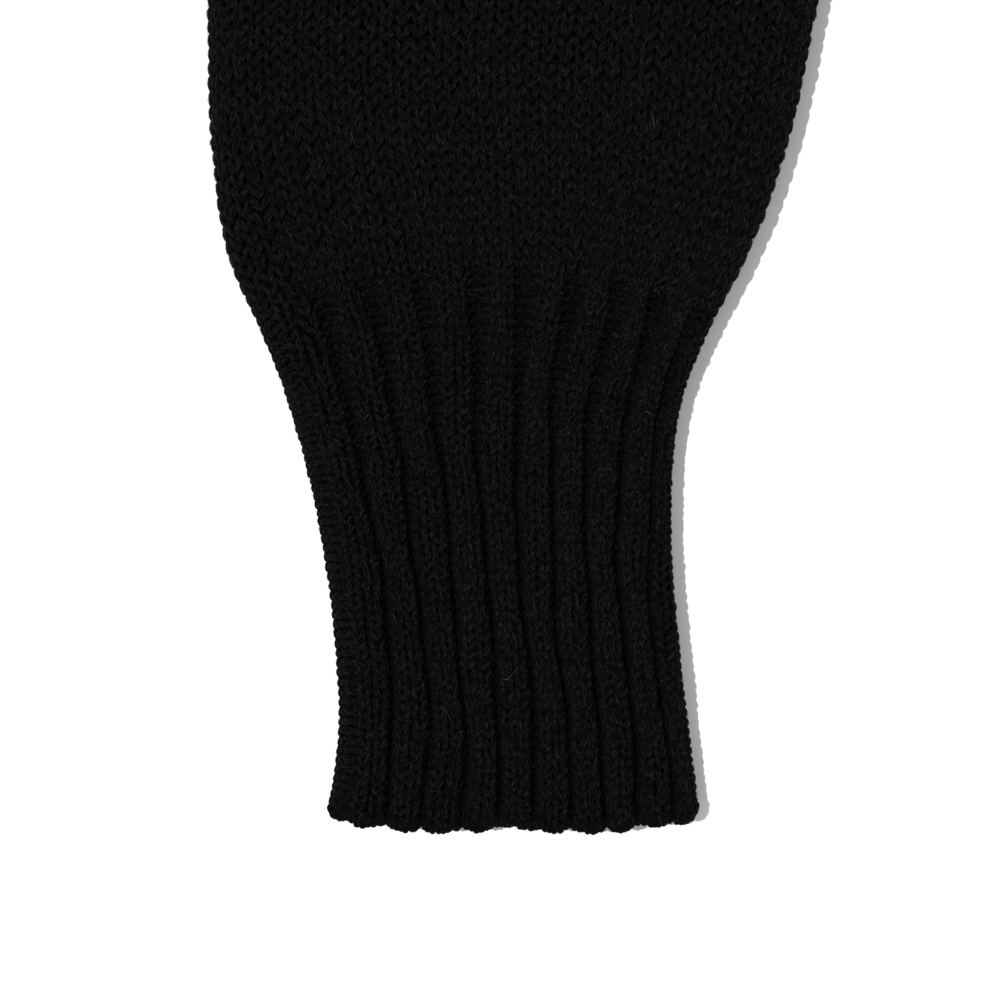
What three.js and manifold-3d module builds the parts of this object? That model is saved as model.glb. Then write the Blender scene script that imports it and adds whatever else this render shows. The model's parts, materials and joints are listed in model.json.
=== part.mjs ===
// A convertible flip-top mitten for the left hand. It lies on its palm with its flap closed.
// Millimetres. +Y runs from the cuff to the fingertips, +X points to the thumb's side and +Z up,
// off the back of the hand. The origin is on the flat underside, in the middle of the wrist.
//
// The knit is drawn as smooth walls of the fabric's thickness. Every tube of it is an oval with
// a flat top and bottom and round sides, which is how a worn mitten lies on a table.

import * as THREE from 'three';
import { mergeVertices } from 'three/addons/utils/BufferGeometryUtils.js';
import Module from 'manifold-3d';

const wasm = await Module();
wasm.setup();

// Lengths along the hand.
const HEM_Y = -52.5;
const WELT_LENGTH = 3;
const RIB_TOP_Y = 62;
const THUMB_PIVOT = { x: 57, y: 138 };
const SEAM_Y = 147.5;
const SEAM_SLOT = 2;
const KNUCKLE_Y = 170;
const TIP_Y = 252;
const BAND_LENGTH = 9.5;

// Thicknesses.
const WALL = 2.4;
const SLEEVE_WALL = 2.2;
const CUFF_THICKNESS = 12;
const HAND_THICKNESS = 15.6;
const TIP_THICKNESS = 10.1;
const GAP = 0.3;
const SLEEVE_CLEARANCE = 2.75;

// The two sides of the cuff and hand, as [y, x].
const LEFT_EDGE = [
  [-52.5, -36.2], [-34, -33.2], [-6, -34.8], [18, -39], [42, -46.2],
  [62, -54.6], [84, -58], [114, -58.8], [150, -58.3], [172, -58],
];
const RIGHT_EDGE = [
  [-52.5, 41.4], [-34, 39.4], [-6, 35.8], [14, 35], [34, 37], [50, 43.4],
  [66, 51.4], [90, 59.2], [114, 64], [138, 70.2],
];
const GUSSET_START = { x: 49.5, y: 62 };
const GUSSET_END = { x: 42.4, y: 138 };
const FINGER_SIDE_X = 43;

// The flap: its middle, its half width, and the curve that rounds it off.
const FLAP_MIDDLE_X = -7.6;
const FLAP_HALF_WIDTH = 50.6;
const FLAP_ROUND_FROM_Y = 168;
const FLAP_ROUNDNESS = 2.3;
const FLAP_THIN_FROM_Y = 208;
const FLAP_SPLIT_Z = HAND_THICKNESS / 2;
const FLAP_STATIONS_Y = [160, 176, 192, 206, 218, 228, 236, 242, 246.5, 249.5, 251.3];

// The thumb, along its own axis from the pivot at its root.
const THUMB_ANGLE = THREE.MathUtils.degToRad(18);
const THUMB_HALF_WIDTH = 14;
const THUMB_LENGTH = 61.5;
const THUMB_ROOT_CLEARANCE = 0.5;
// How it narrows: [distance from the pivot, half width, height of the top].
const THUMB_STATIONS = [
  [-THUMB_HALF_WIDTH - 2, THUMB_HALF_WIDTH, 15.6], [3, THUMB_HALF_WIDTH, 15.6],
  [14, 13.6, 14.8], [30, 13.2, 13.8], [44, 12.2, 12.6], [52, 10.2, 11.6],
  [57.5, 7.4, 10.4], [THUMB_LENGTH, 4.8, 9],
];
const THUMB_END_WALL = 2.6;

// The half fingers, from the little finger's side to the thumb's.
const SLEEVES = [
  { name: 'little', width: 20.5, length: 29 },
  { name: 'ring', width: 23, length: 35 },
  { name: 'middle', width: 23.5, length: 37 },
  { name: 'index', width: 23, length: 33 },
];
const SLEEVE_SPACING = 1.8;
const SLEEVE_TAPER = 0.9;
const SLEEVE_EDGE_LENGTH = 4;

// The hidden magnets that hold the folded flap.
const MAGNET_RADIUS = 5;
const MAGNET_THICKNESS = 1.6;
const MAGNET_PLAY = 0.4;
const POCKET_RADIUS = 8;
const POCKET_HEIGHT = 3;
const POCKET_WALL = 0.8;
const FLAP_MAGNET_Y = 227;
const HAND_MAGNET_Y = 2 * SEAM_Y - FLAP_MAGNET_Y;

// Sewing yarn, and the length of each short line of it.
const THREAD_RADIUS = 0.6;
const SEAM_LENGTH = 84;
const SEAM_FLATTENING = 1.6;
const TACK_LENGTH = 5;
const TACK_INSET = 1.4;
const JOIN_LENGTH = 8;
const THUMB_GRAFT_LENGTH = 7;
const FLAP_GRAFT_LENGTH = 16;

const ARC_STEPS = 10;
const FAR = 400;

const materials = {
  knit: { color: 0x17171a, roughness: 0.95, metalness: 0 },
  rib: { color: 0x141417, roughness: 0.95, metalness: 0 },
  thread: { color: 0x1c1c20, roughness: 0.85, metalness: 0 },
  pocket: { color: 0x202024, roughness: 0.9, metalness: 0 },
  magnet: { color: 0xb9bcc2, roughness: 0.3, metalness: 1 },
};

// ---- curves ----

function edge(knots) {
  const curve = new THREE.CubicInterpolant(knots.map((k) => k[0]), knots.map((k) => k[1]), 1);
  return (y) => curve.evaluate(y)[0];
}

const leftEdge = edge(LEFT_EDGE);
const rightEdge = edge(RIGHT_EDGE);

function steps(from, to, count) {
  return Array.from({ length: count + 1 }, (_, i) => from + ((to - from) * i) / count);
}

function cuffTop(y) {
  const rise = THREE.MathUtils.smoothstep(y, 24, RIB_TOP_Y);
  return THREE.MathUtils.lerp(CUFF_THICKNESS, HAND_THICKNESS, rise);
}

function flapHalfWidth(y, halfWidth, tip) {
  const t = Math.max(0, (y - FLAP_ROUND_FROM_Y) / (tip - FLAP_ROUND_FROM_Y));
  return halfWidth * (1 - t ** FLAP_ROUNDNESS) ** (1 / FLAP_ROUNDNESS);
}

function flapTop(y) {
  const t = Math.max(0, (y - FLAP_THIN_FROM_Y) / (TIP_Y - FLAP_THIN_FROM_Y));
  return HAND_THICKNESS - (HAND_THICKNESS - TIP_THICKNESS) * t ** 1.6;
}

// ---- solids ----

// One ring of an oval tube: flat below and above, with half circles at its sides.
function ovalRing({ y, left, right, bottom, top }) {
  const radius = (top - bottom) / 2;
  const middle = (top + bottom) / 2;
  const ends = [
    { x: right - radius, from: -Math.PI / 2 },
    { x: left + radius, from: Math.PI / 2 },
  ];
  return ends.flatMap(({ x, from }) =>
    steps(from, from + Math.PI, ARC_STEPS).map(
      (a) => new THREE.Vector3(x + radius * Math.cos(a), y, middle + radius * Math.sin(a)),
    ),
  );
}

// A closed solid through rings that follow +Y, with a flat cap on the first and the last.
function loft(ovals) {
  const rings = ovals.map(ovalRing);
  const around = rings[0].length;
  const last = (rings.length - 1) * around;
  const index = [];
  for (let i = 0; i + 1 < rings.length; i++) {
    for (let j = 0; j < around; j++) {
      const a = i * around + j;
      const b = i * around + ((j + 1) % around);
      index.push(a, a + around, b + around, a, b + around, b);
    }
  }
  for (let j = 1; j + 1 < around; j++) {
    index.push(0, j, j + 1);
    index.push(last, last + j + 1, last + j);
  }
  const geometry = new THREE.BufferGeometry().setFromPoints(rings.flat());
  return solid(geometry.setIndex(index));
}

function solid(geometry) {
  let bare = geometry.clone();
  bare.deleteAttribute('normal');
  bare.deleteAttribute('uv');
  bare = mergeVertices(bare, 1e-4);
  return new wasm.Manifold(
    new wasm.Mesh({
      numProp: 3,
      vertProperties: new Float32Array(bare.attributes.position.array),
      triVerts: new Uint32Array(bare.index.array),
    }),
  );
}

function geometryOf(manifold) {
  const mesh = manifold.getMesh();
  const geometry = new THREE.BufferGeometry();
  geometry.setAttribute('position', new THREE.BufferAttribute(mesh.vertProperties, 3));
  geometry.setIndex(new THREE.BufferAttribute(mesh.triVerts, 1));
  geometry.computeVertexNormals();
  return geometry;
}

function inset(oval, wall) {
  return {
    y: oval.y,
    left: oval.left + wall,
    right: oval.right - wall,
    bottom: oval.bottom + wall,
    top: oval.top - wall,
  };
}

// The same tube, run on past both ends so that it cuts them open.
function throughCore(ovals, wall) {
  const core = ovals.map((oval) => inset(oval, wall));
  const [first, last] = [core[0], core[core.length - 1]];
  return loft([{ ...first, y: first.y - 1 }, ...core, { ...last, y: last.y + 1 }]);
}

function tube(ovals, wall) {
  return loft(ovals).subtract(throughCore(ovals, wall));
}

// An upright block over an outline of [x, y] corners.
function prism(corners, bottom = -FAR, top = FAR) {
  const shape = new THREE.Shape(corners.map(([x, y]) => new THREE.Vector2(x, y)));
  const geometry = new THREE.ExtrudeGeometry(shape, { depth: top - bottom, bevelEnabled: false });
  return solid(geometry.translate(0, 0, bottom));
}

function post(radius, x, y) {
  const geometry = new THREE.CylinderGeometry(radius, radius, 2 * FAR, 40);
  return solid(geometry.rotateX(Math.PI / 2).translate(x, y, 0));
}

// ---- nodes ----

const mitten = new THREE.Group();
const thumb = new THREE.Group();
thumb.position.set(THUMB_PIVOT.x, THUMB_PIVOT.y, 0);
thumb.rotation.z = -THUMB_ANGLE;
mitten.add(thumb);

function add(name, finish, shape, group = mitten) {
  const geometry = shape instanceof THREE.BufferGeometry ? shape : geometryOf(shape);
  const mesh = new THREE.Mesh(geometry, new THREE.MeshStandardMaterial(materials[finish]));
  mesh.name = name;
  group.add(mesh);
  return mesh;
}

// A short yarn end or stitch, along an axis.
function stitch(length, axis) {
  const geometry = new THREE.CapsuleGeometry(THREAD_RADIUS, length - 2 * THREAD_RADIUS, 3, 8);
  if (axis === 'x') geometry.rotateZ(Math.PI / 2);
  if (axis === 'z') geometry.rotateX(Math.PI / 2);
  return geometry;
}

function handOval(y, right, top = HAND_THICKNESS) {
  return { y, left: leftEdge(y), right, bottom: 0, top };
}

function addCuff() {
  const oval = (y) => handOval(y, rightEdge(y), cuffTop(y));
  const weltTop = HEM_Y + WELT_LENGTH;
  add('cuff_welt', 'rib', tube(steps(HEM_Y, weltTop - GAP, 1).map(oval), WALL));
  add('cuff_rib', 'rib', tube(steps(weltTop, RIB_TOP_Y - GAP, 14).map(oval), WALL));
}

// The hand is one tube. Its thumb side is open where the gusset joins it, and past the seam it
// steps in, so that the flap lies flush over it.
function addHandAndGusset() {
  const wide = steps(RIB_TOP_Y, GUSSET_END.y, 10).map((y) => handOval(y, rightEdge(y)));
  const gussetSide = (shift) => [
    [GUSSET_START.x + shift, GUSSET_START.y - 1],
    [FAR, GUSSET_START.y - 1],
    [FAR, GUSSET_END.y + 1],
    [GUSSET_END.x + shift, GUSSET_END.y + 1],
    [GUSSET_START.x + shift, GUSSET_START.y - 1],
  ];
  const shoulderY = SEAM_Y - SEAM_SLOT / 2;
  const step = handOval(shoulderY, FINGER_SIDE_X);
  const fingerOval = (y) => inset(handOval(y, FINGER_SIDE_X), SLEEVE_CLEARANCE);
  const upper = [
    handOval(GUSSET_END.y - 1, GUSSET_END.x - 0.1),
    step,
    { ...fingerOval(shoulderY + GAP), y: shoulderY + GAP },
    fingerOval(KNUCKLE_Y - GAP),
  ];
  const narrow = inset(fingerOval(shoulderY - 1), SLEEVE_WALL);
  const upperCore = [
    inset({ ...upper[0], y: upper[0].y - 2 }, WALL),
    inset(handOval(shoulderY - 6, FINGER_SIDE_X), WALL),
    narrow,
    inset(fingerOval(KNUCKLE_Y + 1), SLEEVE_WALL),
  ];
  const core = throughCore(wide, WALL);
  const root = post(THUMB_HALF_WIDTH + THUMB_ROOT_CLEARANCE, THUMB_PIVOT.x, THUMB_PIVOT.y);
  const palm = loft(wide).subtract(prism(gussetSide(0)));
  const hand = palm.add(loft(upper)).subtract(core).subtract(loft(upperCore)).subtract(root);
  add('hand_shell', 'knit', hand);

  const along = new THREE.Vector2(Math.sin(THUMB_ANGLE), Math.cos(THUMB_ANGLE));
  const across = new THREE.Vector2(Math.cos(THUMB_ANGLE), -Math.sin(THUMB_ANGLE));
  const corner = (u, v) => [
    THUMB_PIVOT.x + u * across.x + v * along.x,
    THUMB_PIVOT.y + u * across.y + v * along.y,
  ];
  const beyond = prism([corner(-40, 0), corner(40, 0), corner(40, 60), corner(-40, 60)]);
  const gusset = loft(wide).subtract(core).intersect(prism(gussetSide(GAP)));
  add('thumb_gusset', 'knit', gusset.subtract(root).subtract(beyond));
}

// The thumb's root is round in plan about its pivot, so that it turns inside the hand's opening.
function addThumb() {
  const half = THUMB_HALF_WIDTH;
  const ovals = THUMB_STATIONS.map(([y, x, top]) => ({ y, left: -x, right: x, bottom: 0, top }));
  const core = ovals.slice(0, -1).map((oval) => inset(oval, WALL));
  const lastCore = { ...core.at(-1), y: THUMB_LENGTH - THUMB_END_WALL };
  const hollow = loft([{ ...core[0], y: core[0].y - 1 }, ...core.slice(1, -1), lastCore]);
  const keep = post(half, 0, 0).add(prism([[-FAR, 0], [FAR, 0], [FAR, FAR], [-FAR, FAR]]));
  add('thumb_tube', 'knit', loft(ovals).intersect(keep).subtract(hollow), thumb);
  const graft = add('thumb_tip_graft', 'thread', stitch(THUMB_GRAFT_LENGTH, 'x'), thumb);
  const tipTop = THUMB_STATIONS.at(-1)[2];
  graft.position.set(0, THUMB_LENGTH + GAP + THREAD_RADIUS, tipTop / 2);
}

// Four half fingers, each with a bound-off edge, and a darned join at each fork between them.
function addSleeves() {
  const middle = FLAP_MIDDLE_X;
  let left = leftEdge(KNUCKLE_Y) + SLEEVE_CLEARANCE;
  for (const [i, { name, width, length }] of SLEEVES.entries()) {
    const right = left + width;
    const start = left;
    const oval = (y) => {
      const scale = THREE.MathUtils.mapLinear(y, KNUCKLE_Y, KNUCKLE_Y + 40, 1, SLEEVE_TAPER);
      return {
        y,
        left: middle + (start - middle) * scale,
        right: middle + (right - middle) * scale,
        bottom: SLEEVE_CLEARANCE,
        top: HAND_THICKNESS - SLEEVE_CLEARANCE,
      };
    };
    const end = KNUCKLE_Y + length;
    add(`${name}_sleeve`, 'knit', tube([KNUCKLE_Y, end].map(oval), SLEEVE_WALL));
    const bound = [end + GAP, end + SLEEVE_EDGE_LENGTH].map(oval);
    add(`${name}_edge`, 'rib', tube(bound, SLEEVE_WALL));
    if (i + 1 < SLEEVES.length) {
      const join = add(`${name}_${SLEEVES[i + 1].name}_join`, 'thread', stitch(JOIN_LENGTH, 'z'));
      join.position.set(right + SLEEVE_SPACING / 2, KNUCKLE_Y + 1, HAND_THICKNESS / 2);
    }
    left = right + SLEEVE_SPACING;
  }
}

// The flap is a pouch. It is split at half its height into the back, which turns as a whole, and
// the palm side, which stretches off the fingertips, and each starts with a band of rib.
function addFlap() {
  const from = SEAM_Y + SEAM_SLOT / 2;
  const outerY = [from, ...FLAP_STATIONS_Y];
  const oval = (halfWidth, tip, wall) => (y) => {
    const half = flapHalfWidth(y, halfWidth, tip);
    return {
      y,
      left: FLAP_MIDDLE_X - half,
      right: FLAP_MIDDLE_X + half,
      bottom: wall,
      top: flapTop(y) - wall,
    };
  };
  const outer = outerY.map(oval(FLAP_HALF_WIDTH, TIP_Y, 0));
  const innerTip = TIP_Y - 1.2 * WALL;
  const shift = (y) => from + ((y - from) * (innerTip - from)) / (TIP_Y - from);
  const inner = outerY.map(shift).map(oval(FLAP_HALF_WIDTH - WALL, innerTip, WALL));
  const pouch = loft(outer).subtract(loft([{ ...inner[0], y: from - 1 }, ...inner.slice(1)]));

  const bandEnd = from + BAND_LENGTH;
  const slab = (y0, y1) => [[-FAR, y0], [FAR, y0], [FAR, y1], [-FAR, y1]];
  const half = (y0, y1, z0, z1) => pouch.intersect(prism(slab(y0, y1), z0, z1));
  const aboveSplit = FLAP_SPLIT_Z + GAP / 2;
  const belowSplit = FLAP_SPLIT_Z - GAP / 2;
  add('flap_back_band', 'rib', half(0, bandEnd, aboveSplit, FAR));
  add('flap_back_panel', 'knit', half(bandEnd + GAP, FAR, aboveSplit, FAR));
  add('flap_lip_band', 'rib', half(0, bandEnd, -FAR, belowSplit));
  add('flap_palm_panel', 'knit', half(bandEnd + GAP, FAR, -FAR, belowSplit));

  const graft = add('flap_tip_graft', 'thread', stitch(FLAP_GRAFT_LENGTH, 'x'));
  graft.position.set(FLAP_MIDDLE_X, FLAP_STATIONS_Y.at(-1) + GAP + THREAD_RADIUS, TIP_THICKNESS / 2);
}

// The line of linking that sews the flap down across the back, and a tack at each end of it.
function addSeam() {
  const drop = HAND_THICKNESS - WALL / 2;
  const tackX = [leftEdge(SEAM_Y) + TACK_INSET, FINGER_SIDE_X - TACK_INSET];
  const seam = add('flap_seam', 'thread', stitch(SEAM_LENGTH, 'x').scale(1, 1, SEAM_FLATTENING));
  seam.position.set(FLAP_MIDDLE_X, SEAM_Y, drop);
  for (const [side, x] of [['little_side', tackX[0]], ['index_side', tackX[1]]]) {
    const tack = add(`flap_tack_${side}`, 'thread', stitch(TACK_LENGTH, 'z'));
    tack.position.set(x, SEAM_Y, HAND_THICKNESS / 2);
  }
}

// A magnet in a cup-shaped patch that is sewn to the inside of a wall, open towards the wall.
function addMagnet(name, y, ceiling) {
  const [r, h, w] = [POCKET_RADIUS, POCKET_HEIGHT, POCKET_WALL];
  const bore = MAGNET_RADIUS + MAGNET_PLAY;
  const profile = [[0, 0], [r, 0], [r, h], [bore, h], [bore, w], [0, w]];
  const cup = new THREE.LatheGeometry(profile.map(([x, z]) => new THREE.Vector2(x, z)), 24);
  const disc = new THREE.CylinderGeometry(MAGNET_RADIUS, MAGNET_RADIUS, MAGNET_THICKNESS, 24);
  const floor = ceiling - GAP - h;
  const pocket = add(`${name}_pocket`, 'pocket', cup.rotateX(Math.PI / 2));
  pocket.position.set(FLAP_MIDDLE_X, y, floor);
  const magnet = add(name, 'magnet', disc.rotateX(Math.PI / 2));
  magnet.position.set(FLAP_MIDDLE_X, y, floor + w + GAP + MAGNET_THICKNESS / 2);
}

addCuff();
addHandAndGusset();
addThumb();
addSleeves();
addFlap();
addSeam();
addMagnet('hand_magnet', HAND_MAGNET_Y, HAND_THICKNESS - WALL);
addMagnet('flap_magnet', FLAP_MAGNET_Y, flapTop(FLAP_MAGNET_Y + POCKET_RADIUS) - WALL);

export default mitten;
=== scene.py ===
"""Looks for the convertible flip-top mitten: every stitch of its knit is a small mesh of yarn.

The knit follows smooth tubes worked out from the frame. On a tube u counts wales round it, from
its left fold over the top to its right fold and back under, and v counts courses along it.
Lengths are in millimetres until a mesh is made.
"""

import json
import math

import bpy
import numpy as np
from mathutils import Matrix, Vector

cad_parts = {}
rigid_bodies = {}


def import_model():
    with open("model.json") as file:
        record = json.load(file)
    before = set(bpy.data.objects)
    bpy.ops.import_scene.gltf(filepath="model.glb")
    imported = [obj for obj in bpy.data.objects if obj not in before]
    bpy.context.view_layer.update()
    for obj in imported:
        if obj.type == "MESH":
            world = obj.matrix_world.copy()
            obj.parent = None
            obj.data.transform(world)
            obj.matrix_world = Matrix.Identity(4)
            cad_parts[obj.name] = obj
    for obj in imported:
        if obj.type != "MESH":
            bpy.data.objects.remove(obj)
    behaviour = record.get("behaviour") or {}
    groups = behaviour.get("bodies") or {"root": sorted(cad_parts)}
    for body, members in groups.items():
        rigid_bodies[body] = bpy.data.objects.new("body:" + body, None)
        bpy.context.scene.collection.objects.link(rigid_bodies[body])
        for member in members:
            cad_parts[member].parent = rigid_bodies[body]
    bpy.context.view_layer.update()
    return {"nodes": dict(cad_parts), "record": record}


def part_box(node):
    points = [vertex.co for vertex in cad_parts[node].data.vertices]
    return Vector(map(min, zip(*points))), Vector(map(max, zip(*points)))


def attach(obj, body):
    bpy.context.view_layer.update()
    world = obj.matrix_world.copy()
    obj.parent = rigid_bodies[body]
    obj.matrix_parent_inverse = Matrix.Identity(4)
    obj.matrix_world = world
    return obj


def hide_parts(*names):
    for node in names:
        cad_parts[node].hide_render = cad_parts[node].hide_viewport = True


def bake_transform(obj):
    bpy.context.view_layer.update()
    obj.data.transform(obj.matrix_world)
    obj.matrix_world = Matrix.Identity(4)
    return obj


MM = 0.001
for leftover in list(bpy.data.objects):
    bpy.data.objects.remove(leftover)
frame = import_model()
chance = np.random.default_rng(7)

# The knit's gauge.
RIB_COURSE = 1.95
COURSE = 2.58
RIB_COURSES = 58
HAND_COURSES = 33
HAND_WALES = 80  # round the hand and the thumb's gusset together
THUMB_SPLIT = 8  # wales each side of the thumb's outer fold that go into the thumb
THUMB_WALES = 22
FLAP_WALES = 64
HEM_Y = -51.1  # the middle of the first course
RIB_TOP_Y = HEM_Y + RIB_COURSE * RIB_COURSES
YARN = 0.68  # the radius of one leg of a stitch
SKIN = 0.95  # how far under the frame's surface the yarn's middle runs
STRAND = 0.042  # the radius of a lit fibre
BACKING = 1.75  # how far under the frame's surface the dark sheet behind the stitches lies, which carries painted shade for the gaps between them
WALE = 3.25  # the width of a wale on the sleeves and caps
THICKNESS = 15.6  # of the hand and the flap
FINGER_WALES = 62  # round the hand under the flap
BAND_COURSES = 5  # the flap's ribbed band


# ---- shapes read off the frame ----


def vertices(*nodes):
    return np.concatenate([[v.co for v in frame["nodes"][n].data.vertices] for n in nodes]) / MM


def box(node):
    low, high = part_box(node)
    return np.array(low) / MM, np.array(high) / MM


def smoothstep(low, high, x):
    t = np.clip((x - low) / (high - low), 0, 1)
    return t * t * (3 - 2 * t)


def unit(v):
    return v / np.maximum(np.linalg.norm(v, axis=-1, keepdims=True), 1e-9)


def profile(nodes, pick, low, high, ring_size=100, step=4.0):
    """A smooth function of y through one edge of the nodes' rings of vertices."""
    points = vertices(*nodes)
    rows = []
    for y in np.unique(points[:, 1].round(1)):
        ring = points[abs(points[:, 1] - y) < 0.06]
        if low <= y <= high and len(ring) >= ring_size:
            rows.append((y, pick(ring)))
    ys, values = np.array(rows).T
    return eased(ys, values, step)


def eased(ys, values, step=4.0):
    """A function through the given points with its corners rounded over two steps."""
    grid = np.arange(ys[0] - 3 * step, ys[-1] + 3 * step, 0.5)
    line = np.interp(grid, ys, values)
    ahead = grid > ys[-1]
    line[ahead] += (grid[ahead] - ys[-1]) * (values[-1] - values[-2]) / (ys[-1] - ys[-2])
    width = int(step / 0.5) | 1
    for _ in range(2):
        padded = np.pad(line, width // 2, mode="edge")
        line = np.convolve(padded, np.ones(width) / width, "valid")
    return lambda y: np.interp(y, grid, line)


def constant(value):
    return lambda y: np.full_like(y, value, dtype=float)


# ---- tubes ----


class Tube:
    """A flat-lying knitted tube. Its section has two straight runs and two rounded folds."""

    def __init__(self, left, right, low, high, wales, start, course=COURSE, end=None, origin=None,
                 turn=0.0):
        self.left, self.right, self.low, self.high = left, right, low, high
        self.wales = wales
        self.start = start  # where course 0 begins
        self.course = course
        self.narrow_from = end  # past this y the wales next to the folds end, one by one
        self.origin = np.zeros(3) if origin is None else np.array(origin, float)
        self.turn = turn

    def parts(self, y):
        left, right, low, high = self.left(y), self.right(y), self.low(y), self.high(y)
        width = np.maximum(right - left, 0.4)
        height = high - low
        fold = np.minimum(height, width) / 2
        return left, low, width, height, fold

    def round(self, y):
        _, _, width, _, fold = self.parts(y)
        return 2 * (width - 2 * fold) + 2 * np.pi * fold

    def section(self, s, y):
        """The point of the section at y that is s round from its left fold."""
        left, low, width, height, fold = self.parts(y)
        run = width - 2 * fold
        quarter = np.pi * fold / 2
        s = s % (2 * run + 4 * quarter)
        over = s < run + 2 * quarter
        t = np.where(over, s, s - run - 2 * quarter)
        first = np.clip(t / quarter, 0, 1) * np.pi / 2
        last = np.clip((t - quarter - run) / quarter, 0, 1) * np.pi / 2
        reach = fold * (1 - np.cos(first)) + np.clip(t - quarter, 0, run) + fold * np.sin(last)
        up = np.sin(first) - (1 - np.cos(last))
        x = np.where(over, left + reach, left + width - reach)
        z = low + height / 2 + np.where(over, 1, -1) * up * height / 2
        return x, z

    def distance(self, u, y, side):
        """How far round the section at y wale u is, for stitches on the top (0) or underneath (1)."""
        reach = self.round(y)
        if side is None:
            return u / self.wales * reach
        even = self.round(np.minimum(y, self.narrow_from)) if self.narrow_from else reach
        half = self.wales / 2
        return reach * (0.25 + 0.5 * side) + (u - half / 2 - half * side) * even / self.wales

    def place(self, x, y, z):
        c, s = math.cos(self.turn), math.sin(self.turn)
        turned = np.stack([c * x - s * y, s * x + c * y, z], axis=-1)
        return turned + self.origin

    def unplace(self, points):
        c, s = math.cos(self.turn), math.sin(self.turn)
        x, y, z = np.moveaxis(points - self.origin, -1, 0)
        return np.stack([c * x + s * y, -s * x + c * y, z], axis=-1)

    def height_of(self, u, v, side):
        return self.start + v * self.course

    def __call__(self, u, v, side):
        y = self.height_of(u, v, side)
        x, z = self.section(self.distance(u, y, side), y)
        return self.place(x, y, z)

    def relief(self, u, v, side):
        return np.zeros_like(u * v)

    def folded(self, u, v):
        """Whether a purl stitch lies shut away between two ribs."""
        return np.zeros(np.broadcast(u, v).shape, bool)

    def has(self, u, v, side):
        """Whether there is a stitch there, and not a fold that the narrowing has reached."""
        y = self.height_of(u, v, side)
        even = self.round(np.minimum(y, self.narrow_from)) if self.narrow_from else self.round(y)
        half = self.wales / 2
        away = abs(u - half / 2 - half * side) * even / self.wales
        return away < self.round(y) / 4 + 0.2


# ---- the hand, cuff and gusset as one tube ----

hinge = {j["name"]: np.array(j["pos_m"]) / MM for j in frame["record"]["behaviour"]["joints"]}
HAND_NODES = ("cuff_welt", "cuff_rib", "hand_shell", "thumb_gusset")
SPLIT_LOW = 121.0  # the thumb's wales leave the hand between these heights
SPLIT_HIGH = 136.0
FINGER_SIDE_X = 43.0

hand_left = profile(HAND_NODES[:3], lambda ring: ring[:, 0].min(), -60, 140, 120)
hand_right = profile(HAND_NODES, lambda ring: ring[:, 0].max(), -60, 123, 120)
hand_high = profile(HAND_NODES[:3], lambda ring: ring[:, 2].max(), -60, 140, 120)


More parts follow.
